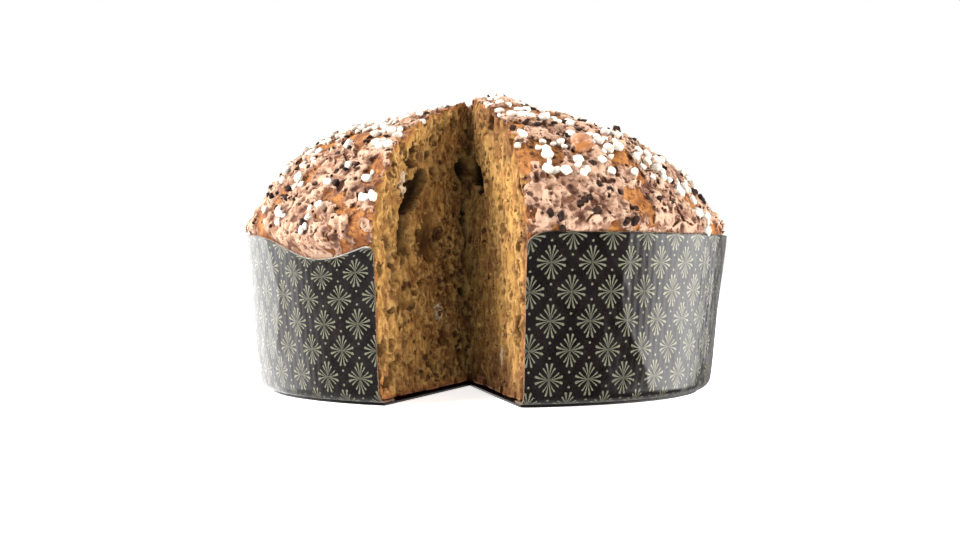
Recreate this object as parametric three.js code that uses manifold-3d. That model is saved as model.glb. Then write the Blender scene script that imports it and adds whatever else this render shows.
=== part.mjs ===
// Veneziana: a low, domed, sweet-dough cake baked in a paper mould, with one slice cut out.
// Millimetres, +Z up. The origin is on the table, on the axis of the mould.
// The slice was cut out at the front, towards -Y, a little to the -X side.
import * as THREE from "three";
import { mergeVertices } from "three/addons/utils/BufferGeometryUtils.js";
import Module from "manifold-3d";

// ---- driving dimensions ----
const RIM_RADIUS = 105; // outside of the paper wall at its upper edge
const FOOT_RADIUS = 99.5; // outside of the paper wall just above its rounded foot
const MOULD_HEIGHT = 67;
const CAKE_HEIGHT = 129;
const PAPER = 0.8; // thickness of the corrugated paper
const GAP = 0.3; // clearance between pieces that touch
const FOOT_BEND = 5; // radius where the wall turns in under the cake
const FLANGE_WIDTH = 10; // what the wall turns in, glued to the base disc
const SEGMENTS = 72; // facets around the mould

// The cut: two upright planes that meet near the axis.
const CUT_APEX = new THREE.Vector2(-7, 2);
const CUT_HALF_ANGLE = THREE.MathUtils.degToRad(16);
const CUT_HEADING = THREE.MathUtils.degToRad(-4.1); // turned from -Y towards -X
const CUT_REACH = 180; // past the mould's edge

// The rim of the paper is pulled down where the dough rose over it, left of the cut.
const DIP_DEPTH = 8;
const DIP_CENTRE = THREE.MathUtils.degToRad(-38);
const DIP_WIDTH = THREE.MathUtils.degToRad(16);

const wasm = await Module();
wasm.setup();

// ---- solids ----

function solidOf(geometry) {
  const bare = geometry.clone();
  bare.deleteAttribute("normal");
  bare.deleteAttribute("uv");
  const merged = mergeVertices(bare, 1e-3);
  return new wasm.Manifold(
    new wasm.Mesh({
      numProp: 3,
      vertProperties: merged.attributes.position.array,
      triVerts: new Uint32Array(merged.index.array),
    }),
  );
}

function geometryOf(solid) {
  const mesh = solid.getMesh();
  const geometry = new THREE.BufferGeometry();
  geometry.setAttribute("position", new THREE.BufferAttribute(mesh.vertProperties, mesh.numProp));
  geometry.setIndex(new THREE.BufferAttribute(mesh.triVerts, 1));
  geometry.computeVertexNormals();
  return geometry;
}

// A closed profile of [radius, height] points, turned about +Z. LatheGeometry turns about +Y.
function turned(profile, bend = (point) => point) {
  const points = profile.map(([radius, height]) => new THREE.Vector2(radius, height));
  const lathe = new THREE.LatheGeometry(points, SEGMENTS).rotateX(Math.PI / 2);
  const places = lathe.attributes.position;
  const point = new THREE.Vector3();
  for (let i = 0; i < places.count; i++) {
    bend(point.fromBufferAttribute(places, i));
    places.setXYZ(i, point.x, point.y, point.z);
  }
  return solidOf(lathe);
}

// Azimuth of a point, 0 towards -Y and growing towards +X.
const azimuthOf = (point) => Math.atan2(point.x, -point.y);

// ---- the cut ----

function wedge() {
  const side = (angle) =>
    new THREE.Vector2(
      CUT_APEX.x + CUT_REACH * Math.sin(angle),
      CUT_APEX.y - CUT_REACH * Math.cos(angle),
    );
  const outline = new THREE.Shape([
    CUT_APEX,
    side(CUT_HEADING - CUT_HALF_ANGLE),
    side(CUT_HEADING + CUT_HALF_ANGLE),
  ]);
  const depth = CAKE_HEIGHT + 40;
  const prism = new THREE.ExtrudeGeometry(outline, { depth, bevelEnabled: false });
  return solidOf(prism.translate(0, 0, -20));
}

const cut = wedge();

// ---- the paper mould ----

const wallRadiusAt = (height) =>
  THREE.MathUtils.mapLinear(height, 0, MOULD_HEIGHT, FOOT_RADIUS, RIM_RADIUS);

function rimDip(azimuth) {
  return DIP_DEPTH * Math.exp(-(((azimuth - DIP_CENTRE) / DIP_WIDTH) ** 2));
}

const DISC_TOP = PAPER;
const FLANGE_BOTTOM = DISC_TOP + GAP;
const BEND_STEPS = 4;

// Half of the wall's profile, at a distance inwards from the outside face, from the flange to the rim.
function wallSide(inwards) {
  const bendRadius = FOOT_BEND - inwards;
  const centreRadius = wallRadiusAt(FOOT_BEND) - FOOT_BEND;
  const centreHeight = FLANGE_BOTTOM + FOOT_BEND;
  const side = [[centreRadius - FLANGE_WIDTH, FLANGE_BOTTOM + inwards]];
  for (let i = 0; i <= BEND_STEPS; i++) {
    const angle = (Math.PI / 2) * (i / BEND_STEPS);
    side.push([
      centreRadius + bendRadius * Math.sin(angle),
      centreHeight - bendRadius * Math.cos(angle),
    ]);
  }
  side.push([wallRadiusAt(MOULD_HEIGHT / 2) - inwards, MOULD_HEIGHT / 2]);
  side.push([RIM_RADIUS - inwards, MOULD_HEIGHT]);
  return side;
}

function mouldWall() {
  const profile = [...wallSide(0), ...wallSide(PAPER).reverse()];
  profile.push(profile[0]);
  const pulledDown = (point) => {
    point.z -= rimDip(azimuthOf(point)) * Math.max(0, point.z / MOULD_HEIGHT) ** 2;
  };
  return turned(profile, pulledDown).subtract(cut);
}

function mouldBase() {
  const radius = wallRadiusAt(0) - FOOT_BEND;
  return turned([[0, 0], [radius, 0], [radius, DISC_TOP], [0, DISC_TOP]]).subtract(cut);
}

// ---- the cake ----

const CAKE_FOOT = FLANGE_BOTTOM + PAPER + GAP;
const CRUST_RADIUS = RIM_RADIUS - PAPER - GAP;

// The crust above the rim, as [share of CRUST_RADIUS, share of the rise above the rim].
const CRUST = [
  [1.0, 0.0],
  [1.0, 0.1],
  [0.975, 0.22],
  [0.94, 0.33],
  [0.885, 0.45],
  [0.81, 0.57],
  [0.71, 0.67],
  [0.58, 0.765],
  [0.43, 0.855],
  [0.26, 0.94],
  [0.1, 0.985],
];

const crustCurve = new THREE.CatmullRomCurve3(
  CRUST.map(([radius, rise]) => new THREE.Vector3(radius, rise, 0)),
);

const rise = CAKE_HEIGHT - MOULD_HEIGHT;

function crustPoint(share) {
  const point = crustCurve.getPoint(share);
  return [CRUST_RADIUS * point.x, MOULD_HEIGHT + rise * point.y];
}

// Slow swells of the crust, none at the rim or the top.
function swell(point) {
  const above = (point.z - MOULD_HEIGHT) / rise;
  if (above <= 0.12 || above > 0.98) return;
  const azimuth = azimuthOf(point);
  const radius = Math.hypot(point.x, point.y);
  const wave = Math.sin(3 * azimuth + 0.6) + 0.7 * Math.sin(5 * azimuth + radius / 21);
  const size = 1.1 * Math.sin(Math.PI * above);
  point.multiplyScalar(1 + (size * wave) / radius);
}

function cakeBody() {
  const inner = wallSide(PAPER + GAP).slice(1, -1);
  const steps = 14;
  const dome = [...Array(steps + 1).keys()].map((i) => crustPoint(i / steps));
  const top = CAKE_HEIGHT;
  const profile = [[0, CAKE_FOOT], ...inner, ...dome, [0, top]];
  return turned(profile, swell).subtract(cut);
}

// Big air holes that the knife opened, as [share of the radius, height, half sizes].
const HOLES = {
  left: [
    { out: 0.56, height: 88, size: [7, 12, 19] },
    { out: 0.78, height: 104, size: [4, 6, 3] },
  ],
  right: [
    { out: 0.12, height: 103, size: [7, 9, 8] },
    { out: 0.3, height: 72, size: [4, 5, 9] },
  ],
};

function airHoles(side) {
  const angle = CUT_HEADING + (side === "left" ? -CUT_HALF_ANGLE : CUT_HALF_ANGLE);
  return HOLES[side].map(({ out, height, size }) => {
    const reach = out * CRUST_RADIUS;
    const hole = new THREE.SphereGeometry(1, 12, 8).scale(...size);
    hole.rotateZ(angle);
    hole.translate(
      CUT_APEX.x + reach * Math.sin(angle),
      CUT_APEX.y - reach * Math.cos(angle),
      height,
    );
    return solidOf(hole);
  });
}

// ---- what is baked into the crust ----

// A repeatable series of numbers from 0 to 1.
function series(seed) {
  let state = seed;
  return () => {
    state = (state * 1664525 + 1013904223) % 4294967296;
    return state / 4294967296;
  };
}

// Height and outward tilt of the crust at a radius, from the crust's curve.
function crustAt(radius) {
  const steps = 200;
  for (let i = 1; i <= steps; i++) {
    const [r1, z1] = crustPoint(i / steps);
    if (r1 <= radius) {
      const [r0, z0] = crustPoint((i - 1) / steps);
      const normal = new THREE.Vector2(z1 - z0, r0 - r1).normalize();
      return { height: z1, normal };
    }
  }
  return { height: CAKE_HEIGHT, normal: new THREE.Vector2(0, 1) };
}

// The nearest that a topping comes to the cut, on either side.
function nearCut(x, y, clear) {
  const away = new THREE.Vector2(x, y).sub(CUT_APEX);
  const angle = Math.atan2(away.x, -away.y) - CUT_HEADING;
  const turn = Math.abs(Math.atan2(Math.sin(angle), Math.cos(angle)));
  if (turn <= CUT_HALF_ANGLE) return true;
  return turn < Math.PI / 2 && away.length() * Math.sin(turn - CUT_HALF_ANGLE) < clear;
}

const TOPPINGS = [
  { name: "almond", count: 5, size: [8, 5, 3.4], sink: 0.25, seed: 11, faces: "smooth" },
  { name: "cocoa_nib", count: 15, size: [3.4, 2.6, 2.1], sink: 0.3, seed: 23 },
  { name: "sugar_grain", count: 34, size: [3.2, 2.7, 2.3], sink: 0.2, seed: 5 },
];

// Places spread evenly over the crust, each clear of the cut and of the toppings already placed.
function placesFor(topping, taken) {
  const next = series(topping.seed);
  const clear = topping.size[0] + 2;
  const places = [];
  for (let tries = 0; places.length < topping.count && tries < 20000; tries++) {
    const azimuth = 2 * Math.PI * next();
    const radius = CRUST_RADIUS * Math.sqrt(0.01 + 0.87 * next());
    const [x, y] = [radius * Math.sin(azimuth), -radius * Math.cos(azimuth)];
    const far = taken.every((t) => Math.hypot(t.x - x, t.y - y) > t.clear + clear);
    if (!far || nearCut(x, y, clear)) continue;
    const place = { x, y, radius, azimuth, clear, spin: Math.PI * next() };
    taken.push(place);
    places.push(place);
  }
  return places;
}

function toppingGeometry(topping, place, grow) {
  const shape = topping.faces === "smooth"
    ? new THREE.SphereGeometry(1, 12, 8)
    : new THREE.IcosahedronGeometry(1, 0);
  const size = topping.size.map((half) => half + grow);
  const { height, normal } = crustAt(place.radius);
  const out = new THREE.Vector3(
    normal.x * Math.sin(place.azimuth),
    -normal.x * Math.cos(place.azimuth),
    normal.y,
  );
  const upright = new THREE.Quaternion().setFromUnitVectors(new THREE.Vector3(0, 0, 1), out);
  const lift = topping.size[2] * (1 - 2 * topping.sink);
  return shape
    .scale(...size)
    .rotateZ(place.spin)
    .applyQuaternion(upright)
    .translate(place.x + out.x * lift, place.y + out.y * lift, height + out.z * lift);
}

// ---- the assembly ----

const COLOURS = {
  crumb: { color: 0xc79a4b, roughness: 0.9 },
  paper: { color: 0x2a2020, roughness: 0.35 },
  almond: { color: 0xb8763a, roughness: 0.6 },
  cocoa_nib: { color: 0x2b1c17, roughness: 0.55 },
  sugar_grain: { color: 0xf6f2e8, roughness: 0.6 },
};

const veneziana = new THREE.Group();
veneziana.name = "veneziana_cake";

function add(name, solid, colours) {
  const material = new THREE.MeshStandardMaterial({ ...colours, metalness: 0 });
  const mesh = new THREE.Mesh(geometryOf(solid), material);
  mesh.name = name;
  veneziana.add(mesh);
}

let cake = cakeBody();
for (const hole of [...airHoles("left"), ...airHoles("right")]) cake = cake.subtract(hole);

const taken = [];
for (const topping of TOPPINGS) {
  placesFor(topping, taken).forEach((place, i) => {
    cake = cake.subtract(solidOf(toppingGeometry(topping, place, GAP + 0.1)));
    const name = `${topping.name}_${String(i + 1).padStart(2, "0")}`;
    add(name, solidOf(toppingGeometry(topping, place, 0)), COLOURS[topping.name]);
  });
}

add("cake", cake, COLOURS.crumb);
add("mould_wall", mouldWall(), COLOURS.paper);
add("mould_base", mouldBase(), COLOURS.paper);

export default veneziana;
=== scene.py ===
"""A veneziana: a low, domed, sweet-dough cake in a printed paper mould, with one slice cut out.

The cake is one closed surface, taken from a distance field: the turned outline, the cut, the air holes
of the crumb and the cracked glaze on the crust. The toppings lie on that surface, and the paper mould is
swept round it. Lengths are millimetres until a mesh is made, and azimuths run from -Y towards +X.
"""

import math
from concurrent.futures import ThreadPoolExecutor

import bmesh
import bpy
import numpy as np
import openvdb
from mathutils import Matrix, Vector
from mathutils.bvhtree import BVHTree


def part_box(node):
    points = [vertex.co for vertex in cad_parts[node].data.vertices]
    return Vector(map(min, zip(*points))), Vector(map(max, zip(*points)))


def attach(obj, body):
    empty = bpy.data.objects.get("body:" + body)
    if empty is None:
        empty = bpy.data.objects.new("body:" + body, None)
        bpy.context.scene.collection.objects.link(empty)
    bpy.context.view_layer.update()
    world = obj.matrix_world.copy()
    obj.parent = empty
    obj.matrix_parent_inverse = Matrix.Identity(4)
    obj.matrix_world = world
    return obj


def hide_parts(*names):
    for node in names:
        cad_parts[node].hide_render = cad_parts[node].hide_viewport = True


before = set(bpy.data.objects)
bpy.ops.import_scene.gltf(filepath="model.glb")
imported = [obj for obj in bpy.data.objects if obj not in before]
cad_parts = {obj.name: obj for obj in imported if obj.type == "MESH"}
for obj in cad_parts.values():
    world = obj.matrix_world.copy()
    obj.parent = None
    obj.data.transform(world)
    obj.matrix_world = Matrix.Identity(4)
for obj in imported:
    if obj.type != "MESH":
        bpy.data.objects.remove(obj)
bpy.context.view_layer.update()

MM = 0.001
VOXEL = 0.55  # of the cake's distance field

# ---- sizes, from the frame and from the construction ----

WALL_LOW, WALL_HIGH = (np.array(corner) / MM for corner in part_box("mould_wall"))
CAKE_LOW, CAKE_HIGH = (np.array(corner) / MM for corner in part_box("cake"))

RIM_RADIUS = WALL_HIGH[0]  # outside of the paper wall at its upper edge
RIM_HEIGHT = WALL_HIGH[2]
FLANGE_HEIGHT = WALL_LOW[2]
CAKE_FOOT = CAKE_LOW[2]
CAKE_TOP = CAKE_HIGH[2]
FOOT_RADIUS = 99.5  # outside of the paper wall, carried on down to the table
PAPER = 0.8  # thickness of the corrugated paper
GAP = 0.3  # clearance between pieces that touch
FOOT_BEND = 5  # radius where the wall turns in under the cake
FLANGE_WIDTH = 10

UP = np.array([0, 0, 1.0])

CUT_APEX = np.array([-7.0, 2.0])  # where the two cut faces meet
CUT_HALF_ANGLE = math.radians(16)
CUT_HEADING = math.radians(-4.1)
LEFT_FACE = CUT_HEADING - CUT_HALF_ANGLE
RIGHT_FACE = CUT_HEADING + CUT_HALF_ANGLE

DIP_DEPTH = 8  # of the paper's rim, left of the cut
DIP_CENTRE = math.radians(-38)
DIP_WIDTH = math.radians(16)
CRUST_LOW = RIM_HEIGHT - DIP_DEPTH - 3  # the crust's relief begins above this height

CRUST_RADIUS = RIM_RADIUS - PAPER - GAP
CRUST = [  # share of the crust's radius, and share of its rise above the rim
    *((1.0, 0.0), (1.0, 0.1), (0.975, 0.22), (0.94, 0.33), (0.885, 0.45), (0.81, 0.57)),
    *((0.71, 0.67), (0.58, 0.765), (0.43, 0.855), (0.26, 0.94), (0.1, 0.985), (0.0, 1.0)),
]


# ---- numbers ----


def smooth(low, high, x):
    """0 below low, 1 above high and an S between."""
    t = np.clip((x - low) / (high - low), 0, 1)
    return t * t * (3 - 2 * t)


def bell(x, width):
    """1 at 0, and less and less beyond a width."""
    return np.exp(-((x / width) ** 2))


def in_parts(work, p, part=200_000):
    """work(p) for a long list of points, a part at a time on every core."""
    if len(p) <= part:
        return work(p)
    cuts = range(part, len(p), part)
    with ThreadPoolExecutor() as pool:
        done = list(pool.map(work, np.split(p, cuts)))
    return np.concatenate(done)


LATTICE = 64  # points along a side of the repeating lattice that noise is read from


def swing(p, wave, seed):
    """Smooth noise from -1 to 1 at the points p, with about one swing to each wave."""
    lattice = np.random.default_rng(seed).uniform(-1, 1, LATTICE**3).astype(np.float32)
    return in_parts(lambda part: read_lattice(lattice, part / np.float32(wave) + np.float32(seed % 7)), p)


def read_lattice(lattice, q):
    """The lattice's numbers, smoothly between its points, at the places q."""
    q = q.astype(np.float32)
    whole = np.floor(q)
    part = q - whole
    part *= part * (3 - 2 * part)
    low = whole.astype(np.int32) & (LATTICE - 1)
    high = (low + 1) & (LATTICE - 1)
    total = np.zeros(len(q), np.float32)
    for corner in range(8):
        side = [(corner >> axis) & 1 for axis in range(3)]
        at = [high[:, k] if side[k] else low[:, k] for k in range(3)]
        share = np.ones(len(q), np.float32)
        for k in range(3):
            share *= part[:, k] if side[k] else 1 - part[:, k]
        total += share * lattice[(at[0] * LATTICE + at[1]) * LATTICE + at[2]]
    return total


def rough(p, wave, seed, octaves=3):
    """Noise with finer and finer detail, about from -1 to 1."""
    total, size = 0, 1
    for k in range(octaves):
        total = total + size * swing(p, wave / 2.13**k, seed + k)
        size *= 0.55
    return total


def cells(p, size, seed):
    """Distances from the points p to the nearest and second nearest of a crowd of scattered seeds."""
    count = 32
    jitter = np.random.default_rng(seed).uniform(0, 1, (count**3, 3)).astype(np.float32)
    return size * in_parts(lambda part: two_nearest(jitter, count, part / np.float32(size)), p)


def two_nearest(jitter, count, q):
    """Distances from q to the nearest two seeds, one to a unit cell, shifted within it by its jitter."""
    q = q.astype(np.float32)
    whole = np.floor(q).astype(np.int32)
    part = q - whole
    first = np.full(len(q), 9, np.float32)
    second = np.full(len(q), 9, np.float32)
    for shift in np.ndindex(3, 3, 3):
        step = np.array(shift, np.int32) - 1
        at = (whole + step) & (count - 1)
        place = jitter[(at[:, 0] * count + at[:, 1]) * count + at[:, 2]]
        away = np.sqrt((((place + step) - part) ** 2).sum(1))
        second = np.minimum(second, np.maximum(first, away))
        first = np.minimum(first, away)
    return np.stack([first, second], 1)


# ---- the cake's outline ----


def catmull_rom(points, steps):
    """A smooth run of points through the given ones."""
    p = np.array([points[0], *points, points[-1]], float)
    t = np.linspace(0, 1, steps, endpoint=False)[:, None]
    run = []
    for a, b, c, d in zip(p, p[1:], p[2:], p[3:]):
        curve = t**2 * (a - 2.5 * b + 2 * c - 0.5 * d) + t**3 * (1.5 * (b - c) + 0.5 * (d - a))
        run.append(b + 0.5 * t * (c - a) + curve)
    return np.vstack([*run, p[-1:]])


def wall_radius(height):
    """Outside radius of the paper wall."""
    return FOOT_RADIUS + (RIM_RADIUS - FOOT_RADIUS) * height / RIM_HEIGHT


def outline():
    """The uncut cake from the middle of its foot to its top, as [radius, height]."""
    inset = PAPER + GAP + 0.15
    bend = FOOT_BEND - inset
    centre = wall_radius(FOOT_BEND) - FOOT_BEND
    turn = np.linspace(0, math.pi / 2, 7)
    foot = np.column_stack([centre + bend * np.sin(turn), CAKE_FOOT + bend * (1 - np.cos(turn))])
    rise = np.array(CRUST) * [CRUST_RADIUS, CAKE_TOP - RIM_HEIGHT] + [0, RIM_HEIGHT]
    wall = [[wall_radius(RIM_HEIGHT) - inset, RIM_HEIGHT - 6]]
    return np.vstack([[[0, CAKE_FOOT]], foot, wall, catmull_rom(rise.tolist(), 6)])


def distance_to_outline(radius, height, path):
    """Signed distance from each (radius, height) to the outline, less than 0 inside the cake."""
    p = np.column_stack([radius.ravel(), height.ravel()])
    nearest = np.full(len(p), 1e9)
    crossings = np.zeros(len(p), int)
    for a, b in zip(path, path[1:]):
        along = b - a
        share = np.clip(((p - a) @ along) / (along @ along), 0, 1)
        nearest = np.minimum(nearest, np.hypot(*(p - a - share[:, None] * along).T))
        spans = (a[1] > p[:, 1]) != (b[1] > p[:, 1])
        if a[1] != b[1]:
            meets = a[0] + (p[:, 1] - a[1]) * along[0] / along[1]
            crossings += spans & (p[:, 0] < meets)
    return np.where(crossings % 2, -nearest, nearest).reshape(radius.shape)


# ---- the distance field ----

FIELD_LIMIT = 3.0  # the field's value is only true this near to the surface
NEAR_CUT = 14  # how far on either side of the cut faces the field is reworked


class Field:
    """A block of numbers over the cake, one to a voxel: less than 0 inside it."""

    def __init__(self, low, high, voxel):
        self.low = np.array(low, np.float32)
        self.voxel = voxel
        self.shape = tuple(np.ceil((high - low) / voxel).astype(int) + 1)
        self.value = np.zeros(self.shape, np.float32)

    def axis(self, k):
        return self.low[k] + self.voxel * np.arange(self.shape[k], dtype=np.float32)

    def places(self, where):
        """Points of the voxels whose three index arrays are given."""
        return np.stack([self.low[k] + self.voxel * where[k] for k in range(3)], 1).astype(np.float32)

    def at(self, points):
        """The field at points, from the nearest voxel."""
        where = np.rint((points - self.low) / self.voxel).astype(int)
        return self.value[tuple(np.clip(where[:, k], 0, self.shape[k] - 1) for k in range(3))]

    def carve(self, centre, frame_axes, half):
        """Hollows out an ellipsoid."""
        half = np.array(half, float)
        reach = np.sqrt(((frame_axes * half[:, None]) ** 2).sum(0)) + 2 * self.voxel
        low = np.maximum(np.floor((centre - reach - self.low) / self.voxel).astype(int), 0)
        high = np.minimum(np.ceil((centre + reach - self.low) / self.voxel).astype(int) + 1, self.shape)
        if (high <= low).any():
            return
        part = tuple(slice(a, b) for a, b in zip(low, high))
        x, y, z = (self.axis(k)[part[k]] - centre[k] for k in range(3))
        square = 0
        for axis, size in zip(frame_axes, half):
            run = (axis[0] * x)[:, None, None] + (axis[1] * y)[None, :, None] + (axis[2] * z)[None, None, :]
            square = square + (run / size) ** 2
        hollow = (1 - np.sqrt(square)) * half.min()
        np.maximum(self.value[part], hollow, out=self.value[part])


def towards(angle):
    """Level direction of an azimuth."""
    return np.array([math.sin(angle), -math.cos(angle), 0.0])


def cut_distance(p):
    """Distance of points outside the wedge that was cut out, less than 0 within it."""
    away = p[:, :2] - CUT_APEX
    left = -towards(LEFT_FACE + math.pi / 2)
    right = towards(RIGHT_FACE + math.pi / 2)
    return np.maximum(away @ left[:2], away @ right[:2]).astype(np.float32)


def azimuth(p):
    """Angle round the axis, 0 towards -Y and growing towards +X."""
    return np.arctan2(p[:, 0], -p[:, 1])


def rim_dip(angle):
    """How much lower the paper's rim is at an azimuth."""
    return DIP_DEPTH * bell(angle - DIP_CENTRE, DIP_WIDTH)


def swell(p):
    """Slow swells of the crust, and how far it sinks below its outline; neither at the rim."""
    above = (p[:, 2] - RIM_HEIGHT) / (CAKE_TOP - RIM_HEIGHT)
    turn = azimuth(p)
    radius = np.hypot(p[:, 0], p[:, 1])
    wave = np.sin(3 * turn + 0.6) + 0.7 * np.sin(5 * turn + radius / 21)
    sunk = 2.0 + 3.2 * bell(turn - 1.7, 1.0) + 1.5 * bell(turn + 1.7, 0.8)
    return 1.1 * np.sin(math.pi * np.clip(above, 0, 1)) * wave - sunk * smooth(0.0, 0.3, above)


LEFT_PLATE = np.array([-58, -76, 85], np.float32)  # middle of the broad plate of glaze left of the cut


def glaze_amount(p):
    """How much of the almond and cocoa glaze lies on the crust, from 0 to 1, and the cracks in it."""
    warp = np.stack([swing(p, 7, s) for s in (31, 32, 33)], 1)
    streaked = (p + 2.2 * warp) * np.array([1, 1, 0.75], np.float32)
    patches = rough(streaked, 12, 41, 5)
    ragged = 0.10 * swing(p, 2.6, 47) + 0.07 * swing(p, 1.5, 49)
    plate = 0.6 * bell(np.linalg.norm(p - LEFT_PLATE, axis=1), 17)
    cover = smooth(-0.20, -0.11, patches + ragged + plate)
    near = cells(p + 4 * warp, 13, 51)
    opened = smooth(-0.2, 0.4, swing(p, 11, 55))
    crack = smooth(0.2, 1.1, near[:, 1] - near[:, 0] + 2 * (1 - opened) + 6 * ragged)
    return cover * crack


def crust_relief(p):
    """How far the crust stands proud of the turned outline, how much glaze is on it, and its fine relief."""
    glaze = glaze_amount(p)
    lumps = 1.5 * rough(p, 24, 61, 2) + 0.9 * rough(p, 9, 65, 2)
    granules = 0.9 * smooth(2.0, 0.6, cells(p, 3.3, 79)[:, 0]) * smooth(-0.4, 0.4, swing(p, 8, 83))
    creases = 1.6 * (np.abs(swing(p, 2.7, 75)) - 0.25) + 1.15 * (np.abs(swing(p, 1.6, 77)) - 0.25)
    pits = 1.4 * smooth(1.4, 0.5, cells(p, 5.2, 85)[:, 0]) * smooth(-0.5, 0.1, swing(p, 12, 87))
    crumbly = 0.9 * rough(p, 4.5, 71, 3) + granules - creases - pits
    wrinkles = 0.5 * rough(p * np.array([1, 1, 0.55], np.float32), 4.5, 81, 3) - 0.7 * pits
    fine = glaze * crumbly + (1 - glaze) * wrinkles
    rim = RIM_HEIGHT - rim_dip(azimuth(p))
    over_rim = 1.8 * bell(azimuth(p) - DIP_CENTRE, DIP_WIDTH * 1.3) * bell(p[:, 2] - rim - 5, 7)
    grown = lumps + 1.7 * glaze + fine
    return (swell(p) + grown + over_rim) * smooth(rim - 2, rim + 5, p[:, 2]), glaze, fine


PORES = 2300  # on each cut face


def air_holes(rng):
    """The holes that the knife opened, as (centre, axes, half sizes)."""
    sides = {LEFT_FACE: -towards(LEFT_FACE + math.pi / 2), RIGHT_FACE: towards(RIGHT_FACE + math.pi / 2)}
    apex = np.append(CUT_APEX, 0)

    def on_face(angle, out, height, deep=0.0):
        return apex + towards(angle) * out + sides[angle] * deep + UP * height

    def tilted(angle, lean):
        out, inwards = towards(angle), sides[angle]
        turn_up = UP * math.cos(lean) + out * math.sin(lean)
        turn_out = out * math.cos(lean) - UP * math.sin(lean)
        return np.array([turn_out, inwards, turn_up])

    caves = {  # (out from the apex, height, depth behind the face, half sizes, lean)
        LEFT_FACE: (
            (63, 84, 2, (5.5, 10, 17), -0.96),
            (73, 68, 1, (6, 6, 12), -0.2),
            (46, 66, 0, (12, 4, 11), 0.2),
            (64, 101.2, 1, (5.5, 6, 1.7), 0.25),
            (67, 96.3, 1, (5.5, 6, 2.4), -0.2),
            (49.5, 100.5, 1, (3.2, 5, 1.5), 0.4),
            (26, 54, 0, (5, 4, 8), 0.3),
            (74, 42, 0, (4, 3, 6), -0.2),
            (30, 25, 0, (6, 4, 5), 0.0),
            (3, 72, 6, (5, 10, 12), 0.0),
            (4, 43, 3, (4, 7, 8), 0.1),
            (8, 22, 3, (4, 5, 5), 0.1),
        ),
        RIGHT_FACE: (
            (8, 97, 12, (15, 24, 8), 0.2),
            (20, 91, 8, (9, 20, 7), -0.4),
            (3, 80, 6, (6, 14, 10), 0.1),
            (31, 71, 0, (4, 5, 9), 0.1),
            (22, 48, 1, (3, 4, 9), 0.0),
            (60, 58, 0, (3, 3, 7), 0.1),
            (78, 78, 0, (2, 2.5, 4), 0.2),
            (2, 58, 5, (5, 9, 7), 0.2),
        ),
    }
    for angle, holes in caves.items():
        for out, height, deep, half, lean in holes:
            yield on_face(angle, out, height, deep), tilted(angle, lean), half

    for angle in (LEFT_FACE, RIGHT_FACE):
        for _ in range(PORES):
            out, height = rng.uniform(0, 104), rng.uniform(CAKE_FOOT + 1, CAKE_TOP)
            size = min(0.55 * rng.uniform(0.015, 1) ** -0.48, 3.6)
            half = size * np.array([rng.uniform(0.7, 1.2), rng.uniform(0.9, 1.5), rng.uniform(0.8, 1.6)])
            centre = on_face(angle, out, height, rng.uniform(-0.3, 0.9) * size)
            yield centre, tilted(angle, rng.normal(0, 0.4)), half


def fissures():
    """Dark slots where the crust split while it rose, as (centre, axes, half sizes)."""
    slots = (  # (azimuth in degrees, radius, tilt, half its length, half its height)
        (-46, 57, 0.1, 7, 1.5),
        (58, 66, -0.3, 6, 1.2),
        (24, 46, 0.2, 5, 1.1),
        (118, 60, 0.4, 9, 1.5),
        (170, 48, -0.2, 8, 1.4),
        (-125, 70, 0.3, 9, 1.4),
        (-72, 84, -0.2, 5, 1.1),
    )
    dome = outline()
    dome = dome[dome[:, 1] >= RIM_HEIGHT]
    for degrees, radius, tilt, half_length, half_height in slots:
        turn = math.radians(degrees)
        out = towards(turn)
        height = np.interp(-radius, -dome[:, 0], dome[:, 1])
        along = towards(turn + math.pi / 2) * math.cos(tilt) + UP * math.sin(tilt)
        centre = out * radius + UP * (height - 1.5)
        yield centre, np.array([along, out, np.cross(along, out)]), (half_length, 6, half_height)


def cake_field():
    """The whole cake as a distance field: outline, relief of the crust, torn cut faces and holes."""
    pad = 5
    low, high = CAKE_LOW - pad, CAKE_HIGH + pad
    field = Field(low, high, VOXEL)
    x, y, z = (field.axis(k) for k in range(3))

    radii = np.arange(0, math.hypot(*high[:2]) + 2, VOXEL)
    table = distance_to_outline(*np.meshgrid(radii, z, indexing="ij"), outline()).astype(np.float32)
    table = np.clip(table, -9, 9)
    radius = np.hypot(x[:, None], y[None, :]) / VOXEL
    step = np.minimum(radius.astype(int), len(radii) - 2)
    share = (radius - step)[..., None].astype(np.float32)
    field.value = table[step] * (1 - share) + table[step + 1] * share

    where = np.nonzero((field.value > -4) & (field.value < 7) & (z > CRUST_LOW))
    relief = crust_relief(field.places(where))[0]
    field.value[where] -= relief.astype(np.float32)

    from_cut = cut_block(field)
    where = np.nonzero((field.value < FIELD_LIMIT) & (np.abs(from_cut) < NEAR_CUT))
    p = field.places(where)
    tall = p * np.array([1, 1, 0.75], np.float32)
    torn = 0.5 * rough(tall, 8.0, 91, 3) + 0.5 * swing(p, 17, 95)
    torn += 0.7 * (np.abs(swing(tall, 4.4, 96)) - 0.4) + 0.45 * (np.abs(swing(p, 2.2, 97)) - 0.4)
    field.value[where] = np.maximum(field.value[where], -cut_distance(p) - torn)
    field.value[from_cut[..., 0] < 1 - NEAR_CUT] = FIELD_LIMIT

    rng = np.random.default_rng(7)
    for centre, axes, half in [*air_holes(rng), *fissures()]:
        field.carve(centre, axes, half)

    surface = (np.abs(field.value) < 2.5) & (np.abs(from_cut) < NEAR_CUT) & (z > CAKE_FOOT + 2)
    where = np.nonzero(surface)
    field.value[where] += 0.24 * rough(field.places(where), 2.3, 101, 2).astype(np.float32)
    return field


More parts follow.
